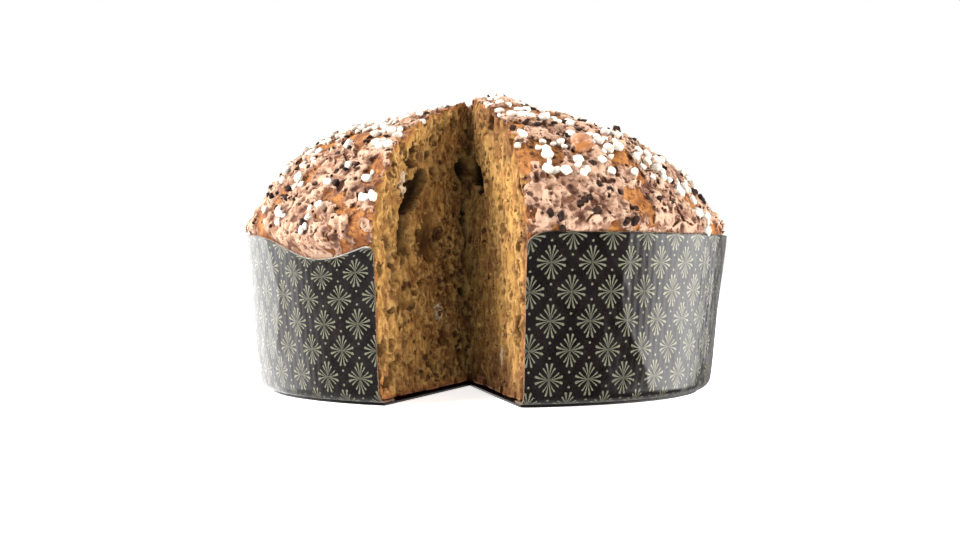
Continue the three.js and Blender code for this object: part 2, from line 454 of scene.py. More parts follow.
def cut_block(field):
    """cut_distance over the whole field, as a flat layer that spreads over the heights."""
    x, y = np.meshgrid(field.axis(0), field.axis(1), indexing="ij")
    flat = np.column_stack([x.ravel(), y.ravel(), np.zeros(x.size)])
    return cut_distance(flat).reshape(x.shape)[..., None]


def largest_shell(count, quads):
    """Which vertices belong to the biggest connected surface."""
    label = np.arange(count)
    pairs = np.vstack([quads[:, [0, 1]], quads[:, [1, 2]], quads[:, [2, 3]], quads[:, [3, 0]]])
    while True:
        lowest = np.minimum(label[pairs[:, 0]], label[pairs[:, 1]])
        fresh = label.copy()
        np.minimum.at(fresh, pairs[:, 0], lowest)
        np.minimum.at(fresh, pairs[:, 1], lowest)
        fresh = fresh[fresh]
        if (fresh == label).all():
            break
        label = fresh
    names, sizes = np.unique(label, return_counts=True)
    return label == names[sizes.argmax()]


def surface_of(field):
    """Vertices in millimetres and faces of the field's surface, without closed bubbles inside it."""
    grid = openvdb.FloatGrid(FIELD_LIMIT)
    grid.copyFromArray(np.clip(field.value, -FIELD_LIMIT, FIELD_LIMIT), tolerance=0)
    points, _, quads = grid.convertToPolygons(isovalue=0.0, adaptivity=0.0)
    keep = largest_shell(len(points), quads)
    quads = quads[keep[quads[:, 0]]]
    number = np.cumsum(keep) - 1
    return points[keep] * field.voxel + field.low, number[quads]


# ---- meshes ----


def mesh_object(name, points, faces, material):
    """A smooth-shaded mesh piece from points in millimetres."""
    mesh = bpy.data.meshes.new(name)
    mesh.vertices.add(len(points))
    mesh.vertices.foreach_set("co", (np.asarray(points, np.float32) * MM).ravel())
    faces = np.asarray(faces)
    mesh.loops.add(faces.size)
    mesh.polygons.add(len(faces))
    mesh.loops.foreach_set("vertex_index", faces.ravel())
    mesh.polygons.foreach_set("loop_start", np.arange(0, faces.size, faces.shape[1]))
    mesh.polygons.foreach_set("use_smooth", np.ones(len(faces), bool))
    mesh.update(calc_edges=True)
    mesh.validate()
    mesh.materials.append(material)
    piece = bpy.data.objects.new(name, mesh)
    bpy.context.collection.objects.link(piece)
    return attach(piece, "root")


def set_attribute(piece, name, values):
    """Numbers, or vectors, that the materials read at each vertex."""
    values = np.asarray(values, np.float32)
    kind = "FLOAT" if values.ndim == 1 else "FLOAT_VECTOR"
    attribute = piece.data.attributes.new(name, kind, "POINT")
    attribute.data.foreach_set("value" if values.ndim == 1 else "vector", values.ravel())


def read(items, name, each=3, kind=np.float32):
    """A property of all a mesh's vertices, normals or loops, as one row of numbers."""
    values = np.zeros(len(items) * each, kind)
    items.foreach_get(name, values)
    return values


# ---- shaders ----


class Graph:
    """The nodes of a material or a world."""

    def __init__(self, owner):
        owner.use_nodes = True
        self.nodes = owner.node_tree.nodes
        self.links = owner.node_tree.links

    def feed(self, socket, value):
        """Links or sets a socket."""
        if isinstance(value, bpy.types.NodeSocket):
            self.links.new(value, socket)
        else:
            socket.default_value = value

    def node(self, kind, settings=None, inputs=None):
        node = self.nodes.new(kind)
        for name, value in (settings or {}).items():
            setattr(node, name, value)
        for name, value in (inputs or {}).items():
            self.feed(node.inputs[name], value)
        return node

    def math(self, operation, a, b=0.0, c=0.0):
        return self.node("ShaderNodeMath", {"operation": operation}, {0: a, 1: b, 2: c}).outputs[0]

    def length(self, x, y):
        square = self.math("ADD", self.math("MULTIPLY", x, x), self.math("MULTIPLY", y, y))
        return self.math("SQRT", square)

    def step(self, value, low, high, start=0.0, end=1.0, shape="SMOOTHSTEP"):
        """From start, where the value is low, to end, where it is high."""
        settings = {"interpolation_type": shape}
        ends = {"Value": value, "From Min": low, "From Max": high, "To Min": start, "To Max": end}
        return self.node("ShaderNodeMapRange", settings, ends).outputs["Result"]


class Shader(Graph):
    """A material made of nodes, with one Principled shader."""

    def __init__(self, name):
        self.material = bpy.data.materials.new(name)
        super().__init__(self.material)
        self.principled = self.nodes["Principled BSDF"]
        self.place = self.node("ShaderNodeTexCoord").outputs["Object"]

    def mix(self, factor, a, b):
        """Colour a at 0 and b at 1."""
        node = self.node("ShaderNodeMix", {"data_type": "RGBA"}, {0: factor})
        self.feed(node.inputs[6], a)
        self.feed(node.inputs[7], b)
        return node.outputs[2]

    def stretched(self, x, y, z):
        return self.node("ShaderNodeMapping", None, {"Vector": self.place, "Scale": (x, y, z)}).outputs[0]

    def noise(self, wave, detail=3.0, roughness=0.55, place=None, distortion=0.0):
        """Noise with one swing to each wave, in millimetres."""
        inputs = {
            "Vector": place or self.place,
            "Scale": 1 / (wave * MM),
            "Detail": detail,
            "Roughness": roughness,
            "Distortion": distortion,
        }
        return self.node("ShaderNodeTexNoise", None, inputs).outputs["Fac"]

    def attribute(self, name, output="Fac"):
        return self.node("ShaderNodeAttribute", {"attribute_name": name}).outputs[output]

    def bump(self, height, distance):
        """A bump of that many millimetres."""
        inputs = {"Height": height, "Distance": distance * MM, "Strength": 1.0}
        return self.node("ShaderNodeBump", None, inputs).outputs["Normal"]

    def finish(self, **inputs):
        """Sets the Principled shader's inputs and gives the material."""
        for name, value in inputs.items():
            self.feed(self.principled.inputs[name.replace("_", " ")], value)
        return self.material


def rgb(red, green, blue):
    return (red, green, blue, 1.0)


def cake_material():
    """Crumb inside; outside, amber skin under a mauve-brown almond and cocoa glaze."""
    s = Shader("baked_dough")
    crust = s.attribute("crust")
    glaze = s.attribute("glaze")
    hollow = s.attribute("hollow")
    ridge = s.attribute("ridge")
    proud = s.attribute("proud")

    crumb = crumb_colour(s, hollow, ridge)
    skin = s.mix(s.step(s.noise(9, 3, 0.6), 0.40, 0.60), rgb(0.37, 0.155, 0.042), rgb(0.19, 0.066, 0.019))
    skin = s.mix(s.step(s.noise(1.3, 2, 0.7), 0.48, 0.60, 0.0, 0.5), skin, rgb(0.18, 0.058, 0.016))
    skin = s.mix(s.step(s.noise(2.8, 3, 0.7), 0.53, 0.62, 0.0, 0.85), skin, rgb(0.10, 0.032, 0.012))
    # painted shade: the amber skin darkens where its fine relief sinks into crevices and pits
    skin = s.mix(s.step(proud, 0.40, 0.15, 0.0, 0.85), skin, rgb(0.10, 0.034, 0.013))

    sweet = s.mix(s.step(s.noise(6, 3, 0.65), 0.40, 0.60), rgb(0.43, 0.272, 0.183), rgb(0.22, 0.116, 0.073))
    # painted highlight: the glaze lightens where its fine relief stands highest
    sweet = s.mix(s.step(proud, 0.50, 0.90, 0.0, 0.55), sweet, rgb(0.53, 0.362, 0.258))
    # painted shade: the glaze darkens where its fine relief sinks into crevices and pits
    sweet = s.mix(s.step(proud, 0.42, 0.12, 0.0, 0.92), sweet, rgb(0.10, 0.042, 0.027))
    sweet = s.mix(s.step(s.noise(1.7, 2, 0.7), 0.58, 0.66, 0.0, 0.85), sweet, rgb(0.085, 0.038, 0.026))
    edge = s.math("MULTIPLY", s.step(glaze, 0.0, 0.45), s.step(glaze, 0.9, 0.5))
    outside = s.mix(s.step(glaze, 0.3, 0.6), skin, sweet)
    outside = s.mix(s.math("MULTIPLY", edge, 0.75), outside, rgb(0.085, 0.032, 0.018))
    # painted shade: the crust darkens in hollows, by how enclosed each vertex is
    outside = s.mix(s.step(hollow, 0.12, 0.58, 0.0, 0.85), outside, rgb(0.055, 0.022, 0.013))

    colour = s.mix(crust, crumb, outside)
    fine = s.math("MULTIPLY_ADD", s.noise(0.7, 3, 0.7), 0.6, s.noise(1.9, 3, 0.6))
    rough_amount = s.step(glaze, 0.2, 0.8, 0.5, 0.85)
    roughness = s.node("ShaderNodeMix", None, {0: crust, 2: 0.85, 3: rough_amount}).outputs[0]
    return s.finish(
        Base_Color=colour,
        Roughness=roughness,
        Normal=s.bump(fine, 0.7),
        Specular_IOR_Level=0.12,
    )


def crumb_colour(s, hollow, ridge):
    """Ochre dough with a cocoa swirl and cocoa and almond bits; painted highlight on ridges, painted shade
    in hollows and holes.
    """
    tall = s.stretched(1, 1, 0.75)
    shade = s.step(s.noise(7, 3, 0.6, tall), 0.43, 0.57)
    crumb = s.mix(shade, rgb(0.41, 0.228, 0.066), rgb(0.26, 0.121, 0.035))
    swirl = s.step(s.noise(14, 4, 0.6, tall, 0.6), 0.50, 0.62)
    crumb = s.mix(s.math("MULTIPLY", swirl, 0.75), crumb, rgb(0.17, 0.074, 0.027))
    crumb = s.mix(s.step(s.noise(3.6, 3, 0.7, tall), 0.51, 0.61, 0.0, 0.6), crumb, rgb(0.54, 0.332, 0.110))
    # painted highlight: the crumb lightens on sharp ridges
    crumb = s.mix(s.step(ridge, 0.35, 0.85, 0.0, 0.4), crumb, rgb(0.56, 0.350, 0.122))
    crumb = s.mix(s.step(s.noise(2.6, 3, 0.7, tall), 0.57, 0.64, 0.0, 0.6), crumb, rgb(0.13, 0.050, 0.020))
    crumb = s.mix(s.step(s.attribute("bits"), 0.2, 0.8, 0.0, 0.85), crumb, rgb(0.050, 0.018, 0.013))
    nut = s.mix(s.step(s.noise(1.5, 3, 0.6), 0.4, 0.6), rgb(0.60, 0.47, 0.31), rgb(0.42, 0.30, 0.18))
    rim = s.mix(s.step(s.attribute("nut"), 0.35, 0.8), rgb(0.14, 0.062, 0.022), nut)
    crumb = s.mix(s.step(s.attribute("nut"), 0.05, 0.35), crumb, rim)
    browned = s.step(s.attribute("inward"), 0.34, 0.02)
    crumb = s.mix(s.math("MULTIPLY", browned, 0.8), crumb, rgb(0.27, 0.092, 0.024))
    # painted shade: the crumb darkens in hollows, by how enclosed each vertex is
    crumb = s.mix(s.step(hollow, 0.28, 0.95, 0.0, 0.75), crumb, rgb(0.115, 0.052, 0.015))
    # darker under the crust on the right cut face: partly baked browning, partly painted shade
    crumb = s.mix(s.attribute("toast_and_shade"), crumb, rgb(0.125, 0.052, 0.019))
    # painted shade: the crumb darkens the deeper it lies behind the cut faces, inside the holes
    return s.mix(s.step(s.attribute("depth"), 0.04, 0.60, 0.0, 0.95), crumb, rgb(0.030, 0.015, 0.006))


# ---- the cake ----


def cut_nuts(points):
    """1 on the almond pieces that the knife cut through, and 0 elsewhere."""
    amount = np.zeros(len(points), np.float32)
    ragged = 0.12 * rough(points, 3, 107)[:, None]
    pieces = ((LEFT_FACE, 76, 87, 3.6), (RIGHT_FACE, 64, 17, 3.2), (LEFT_FACE, 38, 34, 3.4))
    for face, out, height, size in pieces:
        middle = np.append(CUT_APEX, height) + towards(face) * out
        away = (points - middle) / (size * np.array([1, 1, 1.35])) + ragged
        amount = np.maximum(amount, smooth(1.1, 0.9, np.linalg.norm(away, axis=1)))
    return amount


def make_cake():
    """The cake, with what its material has to know at each vertex."""
    field = cake_field()
    points, faces = surface_of(field)
    piece = mesh_object("veneziana_dough", points, faces, cake_material())
    path = outline()
    radius = np.hypot(points[:, 0], points[:, 1])
    outer = distance_to_outline(radius, points[:, 2], path).astype(np.float32)
    glaze = np.zeros(len(points), np.float32)
    high = (points[:, 2] > CRUST_LOW) & (outer > -5)
    fine = np.zeros(len(points), np.float32)
    relief, glaze[high], fine[high] = crust_relief(points[high])
    outer[high] -= relief
    cut = cut_distance(points)
    normals = read(piece.data.vertex_normals, "vector").reshape(-1, 3)
    # how enclosed each vertex is: the materials paint shade in hollows from this
    hollow = sum(1 - np.clip(field.at(points + far * normals) / far, 0, 1) for far in (1.3, 3.0)) / 2
    # how sharp a ridge each vertex is on: the crumb paints a highlight there from this
    ridge = 1 - np.clip(field.at(points - 1.5 * normals) / -1.5, 0, 1)
    # crumb darker under the crust, on the right cut face only: partly baked browning, partly painted shade
    toast_and_shade = 0.95 * smooth(-26.0, -5.0, outer) * smooth(0.0, 2.0, points[:, 0] - CUT_APEX[0])
    toast_and_shade *= 0.6 + 0.8 * np.clip(rough(points, 9, 109), -0.5, 0.5)
    bits = smooth(1.7, 1.1, cells(points, 5.0, 99)[:, 0]) * smooth(0.05, 0.30, rough(points, 11, 111))
    known = {
        "crust": smooth(-1.3, -0.5, outer) * smooth(-1.2, 0.4, cut),
        "glaze": glaze,
        # fine relief height: the crust material paints highlight on its tops and shade in its crevices from
        # it
        "proud": np.clip(0.5 + fine / 2.4, 0, 1),
        "inward": np.clip(-outer / 10, 0, 1),
        # how deep behind the cut face: the crumb paints shade in the holes from this
        "depth": np.clip(cut / 10, 0, 1) * (outer < -1.5),
        "hollow": hollow,
        "ridge": ridge,
        "nut": cut_nuts(points),
        "toast_and_shade": toast_and_shade,
        "bits": bits,
    }
    for name, values in known.items():
        set_attribute(piece, name, values)
    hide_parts("cake")
    return piece


# ---- toppings ----


def ball(detail):
    """Points and triangles of a round ball of radius 1."""
    shape = bmesh.new()
    bmesh.ops.create_icosphere(shape, subdivisions=detail, radius=1)
    points = np.array([v.co[:] for v in shape.verts])
    faces = np.array([[v.index for v in face.verts] for face in shape.faces])
    shape.free()
    return points, faces


def uneven(rng, points, fineness, seed):
    """Noise over a topping, which no two of them share."""
    return swing(points * fineness + rng.uniform(0, 60, 3), 1, seed)


def pearl(rng, points):
    """A rounded sugar grain."""
    lumps = 0.26 * uneven(rng, points, 1.1, 5) + 0.09 * uneven(rng, points, 2.6, 7)
    square = np.sign(points) * np.abs(points) ** 0.72
    return square * (1 + lumps)[:, None]


def chip(rng, points):
    """A broken piece of a roasted cocoa bean, with flat sides."""
    points = points.copy()
    for _ in range(9):
        normal = rng.normal(size=3)
        normal /= np.linalg.norm(normal)
        over = np.maximum(points @ normal - rng.uniform(0.45, 0.8), 0)
        points -= 0.94 * over[:, None] * normal
    return points * (1.2 + 0.10 * uneven(rng, points, 2.6, 6)[:, None])


def kernel(rng, points):
    """A whole almond: pointed at one end, with fine ridges along it."""
    along = points[:, 0]
    taper = 1 - 0.28 * along - 0.12 * along**2
    turn = np.arctan2(points[:, 2], points[:, 1])
    dents = 0.24 * uneven(rng, points, 1.3, 8)
    ridges = 1 + 0.012 * np.sin(17 * turn + 2 * along) + 0.01 * np.sin(31 * turn) + dents
    return np.column_stack([along * 1.02, points[:, 1] * taper * ridges, points[:, 2] * taper * ridges])


class Crust:
    """Places on the finished crust."""

    def __init__(self, cake):
        points = read(cake.data.vertices, "co").reshape(-1, 3) / MM
        faces = read(cake.data.loops, "vertex_index", 1, np.int32).reshape(-1, 4)
        self.tree = BVHTree.FromPolygons(points.tolist(), faces.tolist())
        self.path = outline()
        self.path = self.path[self.path[:, 1] >= RIM_HEIGHT - 1]
        runs = np.diff(self.path, axis=0)
        self.length = np.concatenate([[0], np.cumsum(np.hypot(*runs.T))])
        self.taken = []

    def share_at(self, radius):
        """How far along the outline a radius is, in millimetres from the rim."""
        return float(np.interp(-radius, -self.path[:, 0], self.length))

    def spot(self, along, turn):
        """(point, outward direction) of the crust, that far along its outline and turned to an azimuth."""

        def on_path(run):
            return np.array([np.interp(run, self.length, self.path[:, k]) for k in (0, 1)])

        radius, height = on_path(along)
        a, b = on_path(along - 4), on_path(along + 4)
        slope = (b - a) / np.linalg.norm(b - a)
        out = towards(turn) * slope[1] - UP * slope[0]
        guess = towards(turn) * radius + UP * height
        hit = self.tree.ray_cast(Vector(guess + out * 9), Vector(-out), 20)[0]
        return (guess if hit is None else np.array(hit)), out / np.linalg.norm(out)

    def free(self, point, size, crowding):
        """True if a topping of that size fits there, clear of the cut and of the others."""
        if cut_distance(point[None])[0] < size * 0.9:
            return False
        return all(np.linalg.norm(point - other) > crowding * (size + far) for other, far in self.taken)


def oriented(out, spin):
    """Rows: long, short and upright axis of a topping that lies on a surface facing out."""
    side = np.cross(out, UP) + [1e-6, 0, 0]
    side /= np.linalg.norm(side)
    other = np.cross(out, side)
    long = side * math.cos(spin) + other * math.sin(spin)
    return np.array([long, np.cross(out, long), out])


def cad_places(crust, kind):
    """Where the frame has its toppings of a kind, as (along, azimuth)."""
    for name in sorted(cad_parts):
        if name.startswith(kind):
            low, high = (np.array(corner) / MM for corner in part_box(name))
            x, y, _ = (low + high) / 2
            yield crust.share_at(math.hypot(x, y)), math.atan2(x, -y)


def random_place(crust, rng, lowest):
    """A place spread evenly over the crust's area, from lowest millimetres above the rim along it."""
    while True:
        along = rng.uniform(lowest, crust.length[-1] - 2)
        radius = np.interp(along, crust.length, crust.path[:, 0])
        if rng.uniform(0, CRUST_RADIUS) < radius:
            return along, rng.uniform(-math.pi, math.pi)


def beside(crust, rng, place, apart):
    """A place about that far from another."""
    along, turn = place
    radius = max(np.interp(along, crust.length, crust.path[:, 0]), 8)
    step = rng.uniform(0, 2 * math.pi)
    near = along + apart * math.sin(step)
    return float(np.clip(near, 1, crust.length[-1] - 1)), turn + apart * math.cos(step) / radius


def lay(crust, rng, places, size_of, shape, detail, sunk, crowding):
    """Points and faces of toppings laid on the crust, as many of the places as are free."""
    ball_points, ball_faces = ball(detail)
    points, faces = [], []
    for place in places:
        half = size_of(rng)
        point, out = crust.spot(*place)
        size = float(np.mean(half))
        if not crust.free(point, size, crowding):
            continue
        crust.taken.append((point, size))
        lean = oriented(out, rng.uniform(0, math.pi)) @ small_turn(rng, 0.35)
        body = (shape(rng, ball_points) * half) @ lean + point + out * half[2] * (1 - 2 * sunk)
        faces.append(ball_faces + len(ball_points) * len(points))
        points.append(body)
    return np.concatenate(points), np.concatenate(faces)


def small_turn(rng, angle):
    """A rotation by up to about that angle, about any axis."""
    axis = rng.normal(size=3)
    return np.array(Matrix.Rotation(rng.normal(0, angle), 3, Vector(axis).normalized()))


def sizes(low, high, flat=0.85):
    """A drawer of half sizes: long, across and upright."""

    def draw(rng):
        long = rng.uniform(low, high)
        return np.array([long, long * rng.uniform(0.68, 0.95), long * rng.uniform(0.6, 0.85) * flat])

    return draw


def with_company(crust, rng, starts, least, most, apart):
    """Each start, then a few places close to it."""
    for place in starts:
        yield place
        for _ in range(rng.integers(least, most)):
            yield beside(crust, rng, place, rng.uniform(0.8, 1.9) * apart)


ALMOND_HALF = np.array([7.8, 4.9, 3.7])


def make_toppings(crust):
    """Almonds, pearl sugar and cocoa nibs: one where each of the frame's is, and many more."""
    rng = np.random.default_rng(19)

    def anywhere(count, lowest):
        return [random_place(crust, rng, lowest) for _ in range(count)]

    places = cad_places(crust, "almond")
    almonds = lay(crust, rng, places, lambda _: ALMOND_HALF, kernel, detail=4, sunk=0.76, crowding=0.5)
    starts = [*cad_places(crust, "sugar_grain"), *anywhere(230, 5)]
    places = with_company(crust, rng, starts, 0, 6, 3.3)
    sugar = lay(crust, rng, places, sizes(1.2, 2.4), pearl, detail=3, sunk=0.22, crowding=0.82)
    starts = [*cad_places(crust, "cocoa_nib"), *anywhere(230, 3)]
    places = with_company(crust, rng, starts, 0, 3, 4.0)
    nibs = lay(crust, rng, places, sizes(0.8, 2.2, 0.75), chip, detail=3, sunk=0.34, crowding=0.7)

    made = (
        ("almonds", "almond", almonds, almond_material()),
        ("pearl_sugar", "sugar_grain", sugar, sugar_material()),
        ("cocoa_nibs", "cocoa_nib", nibs, nib_material()),
    )
    for name, kind, (points, faces), material in made:
        piece = mesh_object(name, points, faces, material)
        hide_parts(*(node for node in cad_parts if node.startswith(kind)))


def sugar_material():
    s = Shader("sugar_grain")
    cloud = s.step(s.noise(2.2, 3, 0.6), 0.35, 0.7)
    colour = s.mix(cloud, rgb(0.62, 0.58, 0.515), rgb(0.46, 0.39, 0.31))
    return s.finish(
        Base_Color=colour,
        Roughness=s.step(s.noise(0.8, 2, 0.6), 0.3, 0.7, 0.32, 0.6),
        Subsurface_Weight=0.08,
        Subsurface_Radius=(0.0008, 0.0007, 0.0006),
        Normal=s.bump(s.noise(0.55, 3, 0.7), 0.12),
    )


def nib_material():
    s = Shader("cocoa_nib")
    shade = s.step(s.noise(1.6, 4, 0.7), 0.35, 0.7)
    colour = s.mix(shade, rgb(0.008, 0.005, 0.0045), rgb(0.050, 0.024, 0.016))
    return s.finish(
        Base_Color=colour, Roughness=0.7, Specular_IOR_Level=0.08, Normal=s.bump(s.noise(0.6, 4, 0.7), 0.25)
    )


def almond_material():
    s = Shader("almond")
    shade = s.step(s.noise(4, 4, 0.6), 0.3, 0.7)
    colour = s.mix(shade, rgb(0.34, 0.130, 0.030), rgb(0.20, 0.064, 0.016))
    pale = s.step(s.noise(1.3, 4, 0.7), 0.58, 0.75)
    colour = s.mix(s.math("MULTIPLY", pale, 0.6), colour, rgb(0.46, 0.22, 0.06))
    sweet = s.mix(s.step(s.noise(2, 3, 0.7), 0.45, 0.6), rgb(0.48, 0.29, 0.20), rgb(0.16, 0.075, 0.048))
    colour = s.mix(s.step(s.noise(5, 4, 0.7), 0.48, 0.54, 0.0, 0.9), colour, sweet)
    return s.finish(Base_Color=colour, Roughness=0.5, Normal=s.bump(s.noise(0.8, 3, 0.6), 0.2))


# ---- the paper mould ----

FLUTE = 3.3  # from one crest of the corrugation to the next
PRINT_WIDTH = 16.2  # of the pattern's repeat
PRINT_HEIGHT = 22.34
PRINT_START = np.array([24.3, 55.4])  # arc and height of one ornament's middle
PRINT_RADIUS = 102.25


def wall_section():
    """The paper's closed section, as [radius, height, height of the print, lean], and its outside rows."""
    centre_radius = wall_radius(FOOT_BEND) - FOOT_BEND
    centre_height = FLANGE_HEIGHT + FOOT_BEND

    def side(inwards):
        bend = FOOT_BEND - inwards
        turn = np.linspace(0, math.pi / 2, 9)
        flange = np.linspace(centre_radius - FLANGE_WIDTH, centre_radius, 5)[:-1]
        low = [[r, FLANGE_HEIGHT + inwards, 0.0] for r in flange]
        across, down = bend * np.sin(turn), bend * np.cos(turn)
        curve = np.column_stack([centre_radius + across, centre_height - down, np.sin(turn)])
        heights = np.linspace(centre_height, RIM_HEIGHT, 56)[1:]
        wall = [[wall_radius(h) - inwards, h, 1.0] for h in heights]
        return np.array([*low, *curve, *wall])

    outside, inside = side(0), side(PAPER)[::-1]
    run = np.concatenate([[0], np.cumsum(np.hypot(*np.diff(outside[:, :2], axis=0).T))])
    printed = run - run[-1] + RIM_HEIGHT
    rim = np.array([[RIM_RADIUS - PAPER / 2, RIM_HEIGHT + 0.25, 1.0]])
    rows = np.vstack([outside, rim, inside])
    printed = np.concatenate([printed, [RIM_HEIGHT], printed[::-1]])
    return np.column_stack([rows[:, :2], printed, rows[:, 2]]), len(outside)


def face_azimuth(angle, radius):
    """Azimuth where a face of the cut meets a circle round the axis."""
    out = towards(angle)[:2]
    b = CUT_APEX @ out
    reach = -b + np.sqrt(b * b - CUT_APEX @ CUT_APEX + radius**2)
    place = CUT_APEX + reach[..., None] * out
    return np.arctan2(place[..., 0], -place[..., 1])


def crease(arc, height, path, size, width):
    """A sharp ridge in the paper along a path of (arc, height) points."""
    arcs, heights = np.array(path, float).T
    order = np.argsort(heights)
    line = np.interp(height, heights[order], arcs[order])
    low, high = heights.min(), heights.max()
    ends = smooth(low - 3, low + 3, height) * smooth(high + 3, high - 3, height)
    return size * ends * np.exp(-np.abs(arc - line) / width)


CREASES = (  # (path, size, width), where the dough pushed the paper out and it folded
    (((56, 72), (54, 55), (53, 45), (55, 33), (61, 24), (67, 15), (71, 5)), 1.0, 8),
    (((32, 66), (33, 58), (35, 51), (39, 46)), 0.30, 1.4),
    (((39, 48), (43, 41)), 0.30, 1.4),
    (((44, 43), (47, 37)), 0.32, 1.5),
    (((48, 39), (52, 31)), 0.32, 1.5),
    (((46, 32), (46.5, 22)), 0.28, 1.3),
    (((41, 26), (43, 20), (47, 15), (52, 10)), 0.25, 1.4),
    (((46, 59), (51, 53), (54, 48), (57, 44)), 0.25, 1.4),
    (((118, 68), (116, 40), (119, 12)), 0.8, 6),
    (((210, 68), (204, 50), (216, 26), (209, 8)), 0.8, 7),
    (((300, 68), (306, 40), (298, 10)), 0.6, 6),
    (((392, 68), (380, 44), (386, 20), (374, 6)), 0.8, 7),
    (((470, 68), (476, 36), (468, 8)), 0.7, 6),
    (((540, 68), (548, 44), (541, 18)), 0.8, 6),
)


def buckled(arc, height):
    """How far the paper stands out from its true cone."""
    p = np.stack([arc.ravel(), height.ravel(), 0 * arc.ravel()], 1).astype(np.float32)
    phase = swing(p, 26, 121).reshape(arc.shape)
    flutes = 0.022 * np.cos(2 * math.pi * arc / FLUTE + 1.2 * phase)
    waves = 0.30 * (1 + rough(p * np.array([1, 0.5, 1], np.float32), 24, 125, 2).reshape(arc.shape))
    small = 0.05 * swing(p * np.array([1, 0.3, 1], np.float32), 5, 129).reshape(arc.shape)
    folds = sum(crease(arc, height, *fold) for fold in CREASES)
    flare = 1.4 * bell(arc - 150, 45) * smooth(30, RIM_HEIGHT, height)
    return (flutes + waves + small + folds + flare) * smooth(2, 12, height)


def make_mould():
    """The paper wall swept round the cake from one cut face to the other, and the disc's material."""
    section, outside = wall_section()
    columns = 1300
    start = face_azimuth(RIGHT_FACE, section[:, 0])
    end = face_azimuth(LEFT_FACE, section[:, 0]) + 2 * math.pi
    share = np.linspace(0, 1, columns)[:, None]
    turn = start + (end - start) * share
    radius, height, printed, lean = (np.broadcast_to(section[:, k], turn.shape) for k in range(4))
    arc = turn * PRINT_RADIUS
    out = buckled(arc, printed) * lean

    wrapped = (turn + math.pi) % (2 * math.pi) - math.pi
    from_right = (turn - start) * PRINT_RADIUS
    from_left = (end - turn) * PRINT_RADIUS
    lowered = rim_dip(wrapped) + corner(from_right, 10, 5.5) + corner(from_left, 5, 3)
    height = height - lowered * np.clip(height / RIM_HEIGHT, 0, 1) ** 6
    share = np.clip(height / RIM_HEIGHT, 0, 1)
    height = height - rim_dip(wrapped) * (share**2 - share**6)
    radius = radius + out
    points = np.stack([radius * np.sin(turn), -radius * np.cos(turn), height], -1)

    rows = section.shape[0]
    i, j = np.meshgrid(np.arange(columns - 1), np.arange(rows), indexing="ij")
    after = (j + 1) % rows
    faces = np.stack([i * rows + j, (i + 1) * rows + j, (i + 1) * rows + after, i * rows + after], -1)
    is_print = j < outside - 1
    k = np.arange(rows // 2)
    cap = np.stack([k, k + 1, rows - 2 - k, rows - 1 - k], -1)
    cap = np.array([[a, b, c, d] for a, b, c, d in cap if len({a, b, c, d}) == 4 and b < c])
    faces = np.vstack([faces.reshape(-1, 4), cap, cap[:, ::-1] + (columns - 1) * rows])
    piece = mesh_object("mould_paper", points.reshape(-1, 3), faces, paper_material())
    piece.data.materials.append(paper_edge_material())
    kinds = np.ones(len(piece.data.polygons), np.int32)
    kinds[: is_print.size] = ~is_print.ravel()
    piece.data.polygons.foreach_set("material_index", kinds)
    set_attribute(piece, "print", np.stack([arc, printed, 0 * arc], -1).reshape(-1, 3))
    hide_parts("mould_wall")

    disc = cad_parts["mould_base"]
    disc.data.materials.clear()
    disc.data.materials.append(base_material())


def corner(distance, width, depth):
    """How much lower a rounded corner is at a distance from the cut."""
    share = np.clip(1 - distance / width, 0, 1)
    return depth * (1 - np.sqrt(1 - share**2))


def ornament(s):
    """1 on the print and 0 between it: rosettes of sixteen drops, two to a repeat, with dots between."""
    apart = s.node("ShaderNodeSeparateXYZ", None, {0: s.attribute("print", "Vector")})
    arc, height = apart.outputs[0], apart.outputs[1]
    marks = 0.0
    for half in (0, 0.5):
        x = folded(s, arc, PRINT_START[0] + half * PRINT_WIDTH, PRINT_WIDTH)
        y = folded(s, height, PRINT_START[1] + half * PRINT_HEIGHT, PRINT_HEIGHT)
        mark = s.math("MAXIMUM", rosette(s, x, y), dot(s, x, y))
        marks = s.math("MAXIMUM", marks, mark)
    return marks


def folded(s, value, middle, repeat):
    """Distance from the nearest middle of a repeat."""
    away = s.math("SUBTRACT", value, float(middle))
    return s.math("ABSOLUTE", s.math("WRAP", away, repeat / 2, -repeat / 2))


def rosette(s, x, y):
    """Four drops in each quarter, the outer two shorter."""
    tall = s.math("MULTIPLY", y, 0.87)
    long = s.math("MAXIMUM", x, tall)
    short = s.math("MINIMUM", x, tall)
    radius = s.length(x, tall)
    angle = s.math("ARCTAN2", short, long)
    half_width = s.math("MULTIPLY_ADD", s.math("POWER", radius, 2.6), 0.0050, 0.08)
    mark = 0.0
    for lean, curl, reach in ((0.090, 0.022, 5.6), (0.35, 0.042, 4.75)):
        middle = s.math("MULTIPLY_ADD", radius, curl, lean)
        off = s.math("MULTIPLY", s.math("ABSOLUTE", s.math("SUBTRACT", angle, middle)), radius)
        beyond = s.math("MAXIMUM", s.math("SUBTRACT", radius, reach - 0.45), 0.0)
        drop = s.step(s.math("SUBTRACT", s.length(off, beyond), half_width), 0.07, -0.07)
        mark = s.math("MAXIMUM", mark, drop)
    return s.math("MULTIPLY", mark, s.step(radius, 0.2, 2.6, 0.35, 1.0))


def dot(s, x, y):
    """A dot above and below each rosette."""
    away = s.math("SUBTRACT", y, PRINT_HEIGHT / 2 - 2.9)
    return s.step(s.length(x, away), 0.55, 0.40)


